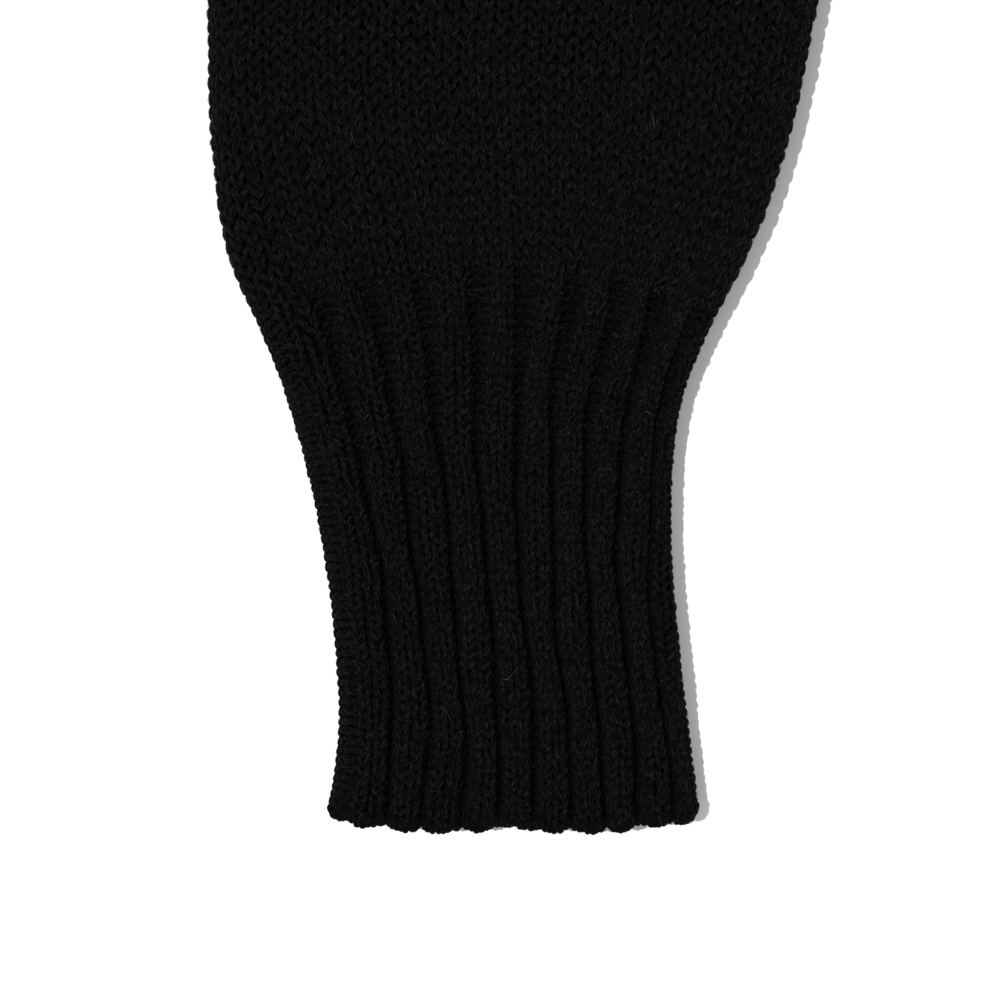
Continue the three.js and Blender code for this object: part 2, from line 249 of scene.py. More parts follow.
class Hand(Tube):
    """The cuff's rib runs into the hand's plain knit, and the thumb's wales part from it."""

    def __init__(self):
        super().__init__(hand_left, hand_right, constant(0.0), hand_high, HAND_WALES, HEM_Y)

    def along(self, v):
        return HEM_Y + RIB_COURSE * np.minimum(v, RIB_COURSES) + COURSE * np.maximum(v - RIB_COURSES, 0)

    def bend(self, y):
        """How far a course hangs back at the folds: most where the rib ends."""
        return 10 * smoothstep(0, 60, y) * (1 - 0.6 * smoothstep(64, 114, y) - 0.4 * smoothstep(114, 146, y))

    def rib_share(self, y_middle):
        """1 where the purl pairs sink between the ribs, 0 in the plain knit."""
        return 1 - smoothstep(RIB_TOP_Y - 7, RIB_TOP_Y + 9, y_middle)

    def drift(self, y_middle):
        """1 where the wales lie as the ribs hold them, 0 where they have spread out evenly."""
        return 1 - smoothstep(RIB_TOP_Y - 14, RIB_TOP_Y + 44, y_middle)

    def groove(self, k, y):
        """Where groove k lies, as a share of the width on top."""
        t = k / 9
        lift = smoothstep(-20, 50, y)
        first = 0.066 - 0.012 * lift
        last = 0.918 + 0.037 * lift
        wobble = 0.0045 * np.sin(y / 8.5 + 2.1 * k) + 0.0025 * np.sin(y / 4.1 + 1.3 * k)
        return first + (last - first) * t + (0.015 + 0.018 * lift) * np.sin(np.pi * t) + wobble

    def rib_edge(self, j, y):
        """How far round wale 2j starts: the ribs stand apart and the purl pairs fold in between."""
        left, _, width, _, fold = self.parts(y)
        reach = self.round(y)
        k = j // 2
        gap = 1.45 + 1.75 * smoothstep(10, 50, y) + 2.1 * smoothstep(38, 64, y)
        pair = gap / 2 * np.where(j % 2, 1, -1)
        x = np.clip(self.groove(np.minimum(k, 9), y), 0, 1) * width
        quarter = np.pi * fold / 2
        near = fold * np.arccos(np.clip(1 - x / fold, 0, 1))
        far = reach / 2 - fold * np.arccos(np.clip(1 - (width - x) / fold, 0, 1))
        top = np.where(x < fold, near, np.where(x > width - fold, far, quarter + x - fold)) + pair
        top = np.where(k == 0, np.where(j % 2, near, 0), top)
        open_fold = 4.6 * (1 - smoothstep(-34, -8, y))
        after = reach / 2 + 1.6
        edge = np.where(j % 2, after, reach / 2 - open_fold)
        under = after + (k - 10) / 10 * (reach - after) + pair
        under = np.where(k >= 20, reach, under)
        return np.where(k < 10, top, np.where(k == 10, edge, under))

    def distance(self, u, y, side, y_middle=None):
        plain = (u % self.wales) / self.wales * self.round(y)
        if y_middle is None:
            return plain
        u = u % self.wales
        j = np.floor(u / 2).astype(int)
        start, stop = self.rib_edge(j, y), self.rib_edge(j + 1, y)
        ribbed = start + (stop - start) * (u / 2 - j)
        share = self.drift(y_middle)
        return ribbed * share + plain * (1 - share)

    def hem(self, u):
        """The cast-on edge waves with the ribs."""
        wave = 0.65 * np.cos(np.pi * (u - 1) / 2) * (1 + 0.6 * np.sin(u * 0.9))
        return wave + 0.45 * np.sin(u * 0.37 + 1) + 0.35

    def __call__(self, u, v, side):
        y_middle = self.along(v) + 0.22 * np.sin(0.41 * u + 1.6 * np.sin(0.17 * v)) + 0 * u
        s = self.distance(u, y_middle, side, y_middle)
        x, _ = self.section(s, y_middle)
        share = (x - self.left(y_middle)) / (self.right(y_middle) - self.left(y_middle)) * 2 - 1
        y = y_middle - self.bend(y_middle) * share**2
        hem_fade = np.exp(-np.maximum(v, 0) / 3.0)
        y = y + hem_fade * (self.hem(u) + 3.6 * abs(share) ** 9)
        s = self.distance(u, y, side, y_middle)
        wide = self.place(*self.ring_at(s, y))
        if np.all(v < RIB_COURSES + 15):
            return wide
        return self.parted(u, v, y, wide)

    def ring_at(self, s, y):
        x, z = self.section(s, y)
        return x, y, z

    def parted(self, u, v, y, wide):
        """Past the split the hand's own wales close round the fingers, and the rest go to the thumb."""
        u = u % self.wales
        own = fingers_tube.wales / 2
        gone = THUMB_SPLIT * 2
        u_hand = np.where(u <= self.wales / 2, np.minimum(u, own), np.maximum(u - gone, own))
        x, z = fingers_tube.section(u_hand * fingers_tube.round(y) / fingers_tube.wales, y)
        narrow = fingers_tube.place(x, y, z)
        u_thumb = u - self.wales / 2 + THUMB_WALES / 2
        thumb = thumb_tube(u_thumb, v - THUMB_FIRST, None)
        to_thumb = abs(u - self.wales / 2) < THUMB_SPLIT
        other = np.where(to_thumb[..., None], thumb, narrow)
        share = smoothstep(SPLIT_LOW, SPLIT_HIGH, self.along(v) + 0 * u)[..., None]
        return wide * (1 - share) + other * share

    def relief(self, u, v, side):
        """How far the stitches lie back: the purl pairs sink between rounded ribs."""
        y_middle = self.along(v)
        deep = (0.5 + 0.5 * np.cos(np.pi * (u - 1) / 2)) ** 1.4
        at_fold = np.exp(-((((u + 40 - 1) % 80) - 40) / 1.6) ** 2) + np.exp(-((u - 41) / 1.6) ** 2)
        depth = 2.9 - 0.5 * smoothstep(15, 60, y_middle)
        return depth * deep * (1 - 0.75 * at_fold) * self.rib_share(y_middle)

    def folded(self, u, v):
        at_fold = (u < 2) | ((u >= self.wales / 2) & (u < self.wales / 2 + 2))
        return (self.along(v) < 24) & ~at_fold

    def has(self, u, v, side):
        return np.ones(np.broadcast(u, v).shape, bool)


THUMB_FIRST = 87.0  # the hand's course level with the thumb's pivot
thumb_pivot = hinge["thumb_swing"]
THUMB_LEAN = math.radians(-18)
THUMB_LENGTH = 61.5
thumb_half = eased(np.array([-20, 3, 14, 30, 44, 52, 57.5, 61.5]),
                   np.array([14, 14, 13.6, 13.2, 12.2, 10.2, 7.4, 4.8]), 2.0)
thumb_high = eased(np.array([-20, 3, 14, 30, 44, 52, 57.5, 61.5]),
                   np.array([15.6, 15.6, 14.8, 13.8, 12.6, 11.6, 10.4, 9.0]), 2.0)


def negative(f):
    return lambda y: -f(y)


thumb_tube = Tube(negative(thumb_half), thumb_half, constant(0.0), thumb_high, THUMB_WALES, 0.0,
                   end=46.0, origin=(thumb_pivot[0], thumb_pivot[1], 0), turn=THUMB_LEAN)
fingers_tube = Tube(hand_left, constant(FINGER_SIDE_X), constant(0.0), constant(THICKNESS),
                    HAND_WALES - 2 * THUMB_SPLIT, 0.0)
hand = Hand()

STEP_IN = 2.75
KNUCKLE_Y = RIB_TOP_Y + COURSE * HAND_COURSES

# ---- the flap ----

flap_low, flap_high = box("flap_back_panel")
FLAP_MIDDLE = (flap_low[0] + flap_high[0]) / 2
FLAP_HALF = (flap_high[0] - flap_low[0]) / 2
FLAP_TIP = flap_high[1]
ROUND_FROM = 168.0
ROUNDNESS = 2.3
FLAP_START = 148.7


def flap_half(y):
    t = np.clip((y - ROUND_FROM) / (FLAP_TIP - ROUND_FROM), 0, 1)
    return FLAP_HALF * (1 - t**ROUNDNESS) ** (1 / ROUNDNESS)


def flap_top(y):
    t = np.clip((y - 208) / (FLAP_TIP - 208), 0, 1)
    return THICKNESS - 5.5 * t**1.6


class Flap(Tube):
    def height_of(self, u, v, side):
        plain = np.maximum(v - BAND_COURSES, 0)
        return self.start + RIB_COURSE * np.minimum(v, BAND_COURSES) + COURSE * plain + 0 * u

    def relief(self, u, v, side):
        deep = 0.5 + 0.5 * np.cos(np.pi * (u - 1) / 2)
        return 0.9 * deep * (1 - smoothstep(4.5, 6.5, v)) + 0 * u


flap = Flap(lambda y: FLAP_MIDDLE - flap_half(y), lambda y: FLAP_MIDDLE + flap_half(y),
            constant(0.0), flap_top, FLAP_WALES, FLAP_START, end=ROUND_FROM)
FLAP_COURSES = BAND_COURSES + int((FLAP_TIP - FLAP_START - BAND_COURSES * RIB_COURSE) / COURSE)


class Cap:
    """The rounded end of a closed tube: wales that run over its edge from the top to underneath."""

    def __init__(self, tube, first, last):
        ys = np.linspace(first, last, 120)
        middle = (tube.right(first) + tube.left(first)) / 2
        side = tube.right(ys) - middle
        across = np.linspace(side[-1], -side[-1], 40)[1:-1]
        right = np.stack([middle + side, ys], axis=1)
        end = np.stack([middle + across, np.full_like(across, last)], axis=1)
        left = np.stack([middle - side, ys], axis=1)
        line = np.concatenate([left, end[::-1], right[::-1]])
        length = np.concatenate([[0], np.cumsum(np.linalg.norm(np.diff(line, axis=0), axis=1))])
        self.at = np.linspace(0, length[-1], 240)
        self.line = np.stack([np.interp(self.at, length, line[:, k]) for k in (0, 1)], axis=1)
        for _ in range(3):
            self.line[3:-3] = sum(self.line[3 + k:len(self.line) - 3 + k] for k in range(-3, 4)) / 7
        self.out = unit(np.gradient(self.line, axis=0)) @ np.array([[0, 1], [-1, 0]])
        self.tube = tube
        self.first = first
        self.courses = 6
        self.wales = int(round(length[-1] / WALE))

    def __call__(self, u, v, side):
        at = u / self.wales * self.at[-1]
        x, y = (np.interp(at, self.at, self.line[:, k]) for k in (0, 1))
        out_x, out_y = (np.interp(at, self.at, self.out[:, k]) for k in (0, 1))
        r = (self.tube.high(y) - self.tube.low(y)) / 2
        turn = v / self.courses * np.pi
        reach = r * (np.sin(turn) - 1)
        z = self.tube.low(y) + r * (1 + np.cos(turn))
        return self.tube.place(x + out_x * reach, y + out_y * reach, z)

    def facing(self, u, v):
        """The outward normal, which stays true where the cap's inner edge is tight."""
        at = u / self.wales * self.at[-1]
        out_x, out_y = (np.interp(at, self.at, self.out[:, k]) for k in (0, 1))
        turn = v / self.courses * np.pi
        away = self.tube.place(out_x * np.sin(turn), out_y * np.sin(turn), np.cos(turn))
        return unit(away - self.tube.origin)

    def relief(self, u, v, side):
        return np.zeros(np.broadcast(u, v).shape)

    def folded(self, u, v):
        return np.zeros(np.broadcast(u, v).shape, bool)

    def has(self, u, v, side):
        return np.ones(np.broadcast(u, v).shape, bool)

    def leaves(self, u, v, side):
        """Which of the tube's stitches the cap doesn't cover."""
        y = self.tube.height_of(u, v, side)
        x, z = self.tube.section(self.tube.distance(u, y, side), y)
        gap = np.linalg.norm(np.stack([x, y], axis=-1)[:, None] - self.line[None], axis=-1).min(axis=1)
        return (gap > (self.tube.high(y) - self.tube.low(y)) / 2 - 0.9) | (y < self.first + 1.5)


class Fingers(Tube):
    """The hand past the thumb, which steps in under the flap."""

    def __init__(self):
        def stepped(outside, inside):
            return lambda y: outside + (inside - outside) * smoothstep(KNUCKLE_Y - 0.4, KNUCKLE_Y + 2.6, y)
        left, right = -58.2, FINGER_SIDE_X
        super().__init__(stepped(left, left + STEP_IN), stepped(right, right - STEP_IN),
                         stepped(0.0, STEP_IN), stepped(THICKNESS, THICKNESS - STEP_IN),
                         FINGER_WALES, KNUCKLE_Y)


class Sleeve(Tube):
    """An open finger: plain knit, then one purl course and the bound-off edge."""

    def __init__(self, node, edge_node):
        points = vertices(node, edge_node)
        low, high = points.min(axis=0), points.max(axis=0)
        rings = [points[abs(points[:, 1] - y) < 0.3] for y in (low[1], high[1])]
        left, right = ([ring[:, 0].min() for ring in rings], [ring[:, 0].max() for ring in rings])
        ends = (low[1], high[1])
        fold = (high[2] - low[2]) / 2
        reach = 2 * (right[0] - left[0] - 2 * fold) + 2 * math.pi * fold
        wales = 2 * int(round(reach / WALE / 2))
        edge = box(edge_node)
        plain = edge[0][1] - low[1]
        self.courses = int(round(plain / COURSE))
        super().__init__(lambda y: np.interp(y, ends, left), lambda y: np.interp(y, ends, right),
                         constant(low[2]), constant(high[2]), wales, low[1], plain / self.courses)


def bind_off(yarn, surface, v):
    """A chain of slanting stitches over the open edge."""
    u = np.arange(surface.wales).astype(float)
    t = np.linspace(0, 1, 8)[None]
    for outside in (0.55, 1.75):
        uu = u[:, None] - 0.25 + 1.3 * t
        vv = v + 0.22 + 0.16 * np.sin(t * np.pi) + 0 * uu
        points, normals = frames(surface, uu, vv, (u >= surface.wales / 2).astype(float)[:, None] + 0 * uu)
        depth = outside + 0.55 * np.cos(t * np.pi) * (1 if outside < 1 else -1) * 0.6 + 0 * uu
        yarn.add(points - normals * depth[..., None], normals, 0.55 * np.sin(0.35 + t * 2.44) + 0 * uu)


def overcast(yarn, node, tube, pitch=1.25):
    """Yarn wound over and over along a seam, round a core. The tube gives the seam's own axes."""
    points = tube.unplace(vertices(node))
    low, high = points.min(axis=0), points.max(axis=0)
    size, middle = high - low, (high + low) / 2
    axis = int(np.argmax(size))
    a, b = [k for k in range(3) if k != axis]
    thread = min(0.5, size[a] / 3.2, size[b] / 3.2)
    length = size[axis] - 2 * thread
    turns = max(2.0, length / pitch)
    t = np.linspace(0, 1, int(turns * 14))
    path = np.zeros((1, len(t), 3))
    ends = np.clip(np.minimum(t, 1 - t) * length / (size[a] / 2), 0, 1) ** 0.5 * 0.75 + 0.25
    path[0, :, axis] = middle[axis] + (t - 0.5) * length
    path[0, :, a] = middle[a] + np.cos(t * turns * 2 * np.pi) * (size[a] / 2 - thread) * ends
    path[0, :, b] = middle[b] + np.sin(t * turns * 2 * np.pi) * (size[b] / 2 - thread) * ends
    outward = path - middle
    outward[0, :, axis] = 0
    yarn.add(tube.place(*np.moveaxis(path, -1, 0)), unit(outward + 1e-6), np.full((1, len(t)), thread))
    core = np.repeat(middle[None, None], 9, axis=1)
    core[0, :, axis] += np.linspace(-0.49, 0.49, 9) * length
    up = np.zeros_like(core)
    up[..., b] = 1
    swell = np.array([0.4, 0.85, 1, 1, 1, 1, 1, 0.85, 0.4]) * max(min(size[a], size[b]) / 2 - thread, 0.2)
    yarn.add(tube.place(*np.moveaxis(core, -1, 0)), up, swell[None])


# ---- yarn ----

# One leg of a plain stitch: places across the wale and along the course, height, and thickness.
LEG = np.array([
    [0.03, -0.58, -0.95, 0.62], [0.08, -0.42, -0.28, 0.92], [0.16, -0.20, 0.04, 1.0],
    [0.25, 0.04, 0.10, 1.0], [0.33, 0.26, 0.00, 0.97], [0.40, 0.45, -0.34, 0.86],
    [0.45, 0.64, -1.00, 0.55],
])
# A purl stitch shows the head of its loop, and the bight that joins it to the next wale.
HEAD = np.array([
    [-0.50, -0.36, -0.90, 0.60], [-0.38, -0.20, -0.25, 0.74], [-0.20, -0.02, 0.10, 0.80],
    [0.0, 0.05, 0.20, 0.80], [0.20, -0.02, 0.10, 0.80], [0.38, -0.20, -0.25, 0.74],
    [0.50, -0.36, -0.90, 0.60],
])
BIGHT = np.array([
    [0.04, 0.44, -0.90, 0.55], [0.18, 0.36, -0.30, 0.68], [0.34, 0.26, 0.0, 0.74], [0.5, 0.22, 0.10, 0.74],
    [0.66, 0.26, 0.0, 0.74], [0.82, 0.36, -0.30, 0.68], [0.96, 0.44, -0.90, 0.55],
])
SIDES = 6


def at_places(values, t):
    """Values at places t of each row, from 0 to 1 along it."""
    at = t * (values.shape[1] - 1)
    low = np.minimum(at.astype(int), values.shape[1] - 2)
    rows = np.arange(len(values))[:, None]
    part = at - low
    if values.ndim == 3:
        part = part[..., None]
    return values[rows, low] * (1 - part) + values[rows, low + 1] * part


def strands(fibres, centres, normals, radii, each):
    """Lit fibres on the surface of the yarn, wound along it with its twist."""
    rows = np.repeat(np.arange(len(centres)), each)
    n = len(rows)
    tangent = unit(np.gradient(centres, axis=1))
    across = unit(np.cross(normals, tangent))
    up = unit(np.cross(tangent, across))
    step = np.linspace(0, 1, 3)[None]
    t = chance.uniform(0.08, 0.62, (n, 1)) + chance.uniform(0.16, 0.36, (n, 1)) * step
    turn = chance.uniform(-1.25, 1.25, (n, 1)) + chance.normal(-0.45, 0.45, (n, 1)) * (step - 0.5)
    sideways = at_places(across[rows], t) * np.sin(turn)[..., None]
    out = sideways + at_places(up[rows], t) * np.cos(turn)[..., None]
    lift = 1.0 + np.abs(chance.normal(0, 0.14, (n, 1))) * (2 * step - 1) ** 2
    points = at_places(centres[rows], t) + out * (at_places(radii[rows], t) * lift)[..., None]
    thick = STRAND * chance.lognormal(0, 0.28, (n, 1)) * np.array([[0.7, 1.0, 0.6]])
    fibres.add(points, out, thick, sides=3)


class Yarn:
    """Many short tubes of yarn, gathered for one mesh."""

    def __init__(self, strands_each=0):
        self.fibres = Yarn() if strands_each else None
        self.strands_each = strands_each
        self.points = []
        self.around = []
        self.run = []
        self.count = 0

    def add(self, centres, normals, radii, sides=SIDES):
        """centres and normals are tubes by points by 3, and radii tubes by points."""
        tangent = unit(np.gradient(centres, axis=1))
        across = unit(np.cross(normals, tangent))
        up = unit(np.cross(tangent, across))
        turn = np.arange(sides) * 2 * np.pi / sides
        ring = (across[:, :, None] * np.cos(turn)[None, None, :, None]
                + up[:, :, None] * np.sin(turn)[None, None, :, None])
        points = centres[:, :, None] + ring * radii[:, :, None, None]
        length = np.cumsum(np.linalg.norm(np.diff(centres, axis=1, prepend=centres[:, :1]), axis=2), axis=1)
        start = chance.random((len(centres), 2)) * 60
        self.points.append((points, length + start[:, :1], start[:, 1]))

    def mesh(self, name):
        """One mesh of all the tubes, with a map whose u runs round the yarn and v along it."""
        verts, loops, totals, maps = [], [], [], []
        offset = 0
        for points, length, shift in self.points:
            n, steps, sides, _ = points.shape
            index = offset + np.arange(n * steps * sides).reshape(n, steps, sides)
            offset += n * steps * sides
            verts.append(points.reshape(-1, 3))
            after = np.roll(index, -1, axis=2)
            quads = np.stack([index[:, :-1], after[:, :-1], after[:, 1:], index[:, 1:]], axis=-1)
            loops.append(quads.reshape(-1))
            totals.append(np.full(quads.size // 4, 4))
            k = np.arange(sides) / sides
            low = np.broadcast_to(k, quads.shape[:-1])
            high = low + 1 / sides
            near = np.broadcast_to(length[:, :-1, None], quads.shape[:-1])
            far = np.broadcast_to(length[:, 1:, None], quads.shape[:-1])
            shift = np.broadcast_to(shift[:, None, None], quads.shape[:-1])
            low, high = low + shift, high + shift
            uv = np.stack([low, near, high, near, high, far, low, far], axis=-1)
            maps.append(uv.reshape(-1, 2))
            for ring, at in ((index[:, 0, ::-1], 0), (index[:, -1], -1)):
                loops.append(ring.reshape(-1))
                totals.append(np.full(n, sides))
                end = np.stack([np.broadcast_to(k, (n, sides)),
                                np.broadcast_to(length[:, at][:, None], (n, sides))], axis=-1)
                maps.append(end.reshape(-1, 2))
        return raw_mesh(name, np.concatenate(verts), np.concatenate(loops), np.concatenate(totals),
                        np.concatenate(maps))


def raw_mesh(name, verts, loops, totals, uv=None, smooth=True):
    mesh = bpy.data.meshes.new(name)
    mesh.vertices.add(len(verts))
    mesh.vertices.foreach_set("co", (verts * MM).astype(np.float32).ravel())
    mesh.loops.add(len(loops))
    mesh.loops.foreach_set("vertex_index", loops.astype(np.int32))
    mesh.polygons.add(len(totals))
    starts = np.concatenate([[0], np.cumsum(totals)[:-1]])
    mesh.polygons.foreach_set("loop_start", starts.astype(np.int32))
    mesh.polygons.foreach_set("loop_total", totals.astype(np.int32))
    mesh.polygons.foreach_set("use_smooth", np.full(len(totals), smooth))
    if uv is not None:
        layer = mesh.uv_layers.new(name="yarn")
        layer.data.foreach_set("uv", uv.astype(np.float32).ravel())
    mesh.update(calc_edges=True)
    mesh.validate()
    return mesh


def piece(name, mesh, material, body, nodes=()):
    obj = bpy.data.objects.new(name, mesh)
    bpy.context.scene.collection.objects.link(obj)
    obj.data.materials.append(material)
    if isinstance(body, str):
        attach(obj, body)
    else:
        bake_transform(obj)
    if nodes:
        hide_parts(*nodes)
    return obj


def knit_piece(name, yarn, body, nodes=()):
    piece(name, yarn.mesh(name), wool, body, nodes)
    if yarn.fibres:
        piece(f"{name}_strands", yarn.fibres.mesh(f"{name}_strands"), highlight_fibre_wool, body, ())


def frames(surface, u, v, side):
    """Points of a surface, and its outward normals."""
    centre = surface(u, v, side)
    if isinstance(surface, Cap):
        return centre, surface.facing(u, v)
    e = 0.02
    du = surface(u + e, v, side) - surface(u - e, v, side)
    dv = surface(u, v + e, side) - surface(u, v - e, side)
    return centre, unit(np.cross(du, dv))


def lay(yarn, surface, u, v, side, shape, mirror=1, thick=1.0, depth=SKIN, lit=1.0):
    """Lays one tube of yarn of the given shape at each stitch, with a share of the lit fibres."""
    n = len(u)
    a, b, h, r = shape.T
    lift = 1 + chance.normal(0, 0.06, (n, 1))
    spread = 1 + chance.normal(0, 0.05, (n, 1))
    uu = (u + 0.5)[:, None] + mirror * a * spread + chance.normal(0, 0.032, (n, 1))
    vv = (v + 0.5)[:, None] + b * lift + chance.normal(0, 0.034, (n, 1))
    ss = np.broadcast_to(np.asarray(side, float)[:, None], uu.shape)
    points, normals = frames(surface, uu, vv, ss)
    down = depth + surface.relief(uu, vv, ss)
    radius = YARN * thick * (1 + chance.normal(0, 0.08, (n, 1))) * r
    height = (h * YARN) - down + chance.normal(0, 0.05, (n, 1))
    centres, radius = points + normals * height[..., None], radius + 0 * uu
    yarn.add(centres, normals, radius)
    each = round(yarn.strands_each * lit)
    if each:
        strands(yarn.fibres, centres, normals, radius, each)


def knit(yarn, surface, u, v, side, purl, thick=1.0, depth=SKIN, steep=1.0):
    plain = ~purl
    leg = LEG * np.array([steep, 1, 1, 1]) + np.array([0.25 * (1 - steep), 0, 0, 0])
    for mirror in (-1, 1):
        lay(yarn, surface, u[plain], v[plain], side[plain], leg, mirror, thick, depth)
    shut = purl & surface.folded(u, v)
    for these, lit in ((purl & ~shut, 0.4), (shut, 0)):
        if these.any():
            lay(yarn, surface, u[these], v[these], side[these], HEAD, 1, thick, depth, lit)
            lay(yarn, surface, u[these], v[these], side[these], BIGHT, 1, thick, depth, lit)


def fuzz(yarn, surface, count, wales, courses, thick=0.030, length=1.7, rise=0.30, wander=0.55):
    """Loose fibres over the knit: most lie along the wales, and a few ends stand away from it."""
    steps = 4
    u = chance.uniform(*wales, count)
    v = chance.uniform(*courses, count)
    side = (u >= surface.wales / 2).astype(float)
    here = surface.has(u, v, side)
    u, v, side = u[here], v[here], side[here]
    n = len(u)
    t = np.linspace(0, 1, steps)[None]
    reach = length * chance.lognormal(0, 0.38, (n, 1))
    heading = chance.choice([-1, 1], (n, 1)) * 0.42 + chance.normal(0, wander, (n, 1))
    angle = heading + chance.normal(0, 0.7, (n, 1)) * t
    across = np.cumsum(np.sin(angle), axis=1) / steps * reach / 3.1
    lengthwise = np.cumsum(np.cos(angle), axis=1) / steps * reach / 2.3
    uu, vv = u[:, None] + across, v[:, None] + lengthwise
    points, normals = frames(surface, uu, vv, side[:, None] + 0 * uu)
    base = SKIN - YARN * 0.93 + surface.relief(uu, vv, side[:, None] + 0 * uu)
    lift = np.abs(chance.normal(0, rise, (n, 1))) * t**2 - np.abs(chance.normal(0, 0.16, (n, 1)))
    radius = thick * chance.lognormal(0, 0.25, (n, 1)) * (1.0 - 0.35 * t)
    centres = points + normals * (lift - base)[..., None]
    centres[..., 2] = np.maximum(centres[..., 2], 0.06)
    yarn.add(centres, normals, radius, sides=3)


def field(surface, wales, courses, cap=None):
    """Every stitch of some wales and courses that the surface has and its cap doesn't cover."""
    u, v = np.meshgrid(np.arange(*wales), np.arange(*courses))
    u, v = u.ravel().astype(float), v.ravel().astype(float)
    side = (u >= surface.wales / 2).astype(float)
    here = surface.has(u + 0.5, v + 0.5, side)
    if cap:
        here &= cap.leaves(u + 0.5, v + 0.5, side)
    return u[here], v[here], side[here]


def cast_on(yarn, surface, wales):
    """The first row's yarn goes round the edge of the fabric once at each wale."""
    u = np.arange(*wales).astype(float)
    n = len(u)
    turn = np.linspace(-0.15, 1.15, 8)[None] * np.pi
    for shift in (0.2, 0.53, 0.87):
        lean = 0.16 * np.linspace(-1, 1, 8)[None]
        uu = u[:, None] + shift + lean + chance.normal(0, 0.05, (n, 1))
        vv = 0.42 - 0.62 * np.sin(turn) + chance.normal(0, 0.05, (n, 1)) + 0 * uu
        side = (u >= surface.wales / 2).astype(float)[:, None] + 0 * uu
        points, normals = frames(surface, uu, vv, side)
        depth = 1.45 - 0.72 * np.cos(turn) + surface.relief(uu, vv, side) * 0.8
        radius = 0.56 * (1 + chance.normal(0, 0.08, (n, 1))) + 0 * uu
        yarn.add(points - normals * depth[..., None], normals, radius)


def inside_knit(yarn, surface, u, v, side, purl, depth=2.55):
    """The same stitches seen from inside the tube, where knit shows as purl."""
    for shape, mirror, these in ((HEAD, 1, ~purl), (LEG, -1, purl), (LEG, 1, purl)):
        flipped = shape * np.array([1, 1, -1, 1])
        lay(yarn, surface, u[these], v[these], side[these], flipped, mirror, 0.85, depth)


def shell(surface, wales, courses, steps_u, steps_v, out=BACKING, inner=2.35, ring=True):
    """A closed dark sheet under the stitches, partly the fabric's inner face and partly painted shade in the
    gaps between them: an outer and an inner skin joined at their edges.
    """
    us = np.linspace(*wales, steps_u, endpoint=not ring)
    vs = np.linspace(*courses, steps_v)
    v, u = np.meshgrid(vs, us, indexing="ij")
    points, normals = frames(surface, u, v, None)
    depth = surface.relief(u, v, None)[..., None] * 0.8
    skins = np.stack([points - normals * (out + depth), points - normals * (inner + depth)])
    return skins, ring


def shell_mesh(name, skins, ring):
    _, rows, columns, _ = skins.shape
    index = np.arange(skins.size // 3).reshape(2, rows, columns)
    outer, inner = index
    quads = []

    def grid(g, flip):
        right = np.roll(g, -1, axis=1) if ring else g[:, 1:]
        base = g if ring else g[:, :-1]
        q = np.stack([base[:-1], right[:-1], right[1:], base[1:]], axis=-1).reshape(-1, 4)
        quads.append(q[:, ::-1] if flip else q)

    grid(outer, False)
    grid(inner, True)
    grid(np.stack([inner[0], outer[0]]), False)
    grid(np.stack([outer[-1], inner[-1]]), False)
    if not ring:
        for column, flip in ((0, True), (-1, False)):
            g = np.stack([outer[:, column], inner[:, column]], axis=1)
            q = np.stack([g[:-1, 0], g[:-1, 1], g[1:, 1], g[1:, 0]], axis=-1)
            quads.append(q[:, ::-1] if flip else q)
    faces = np.concatenate(quads)
    return raw_mesh(name, skins.reshape(-1, 3), faces.ravel(), np.full(len(faces), 4))


# ---- materials ----


def material(name, colour, roughness):
    made = bpy.data.materials.new(name)
    made.use_nodes = True
    shader = made.node_tree.nodes["Principled BSDF"]
    shader.inputs["Base Color"].default_value = (*colour, 1)
    shader.inputs["Roughness"].default_value = roughness
    return made, made.node_tree, shader


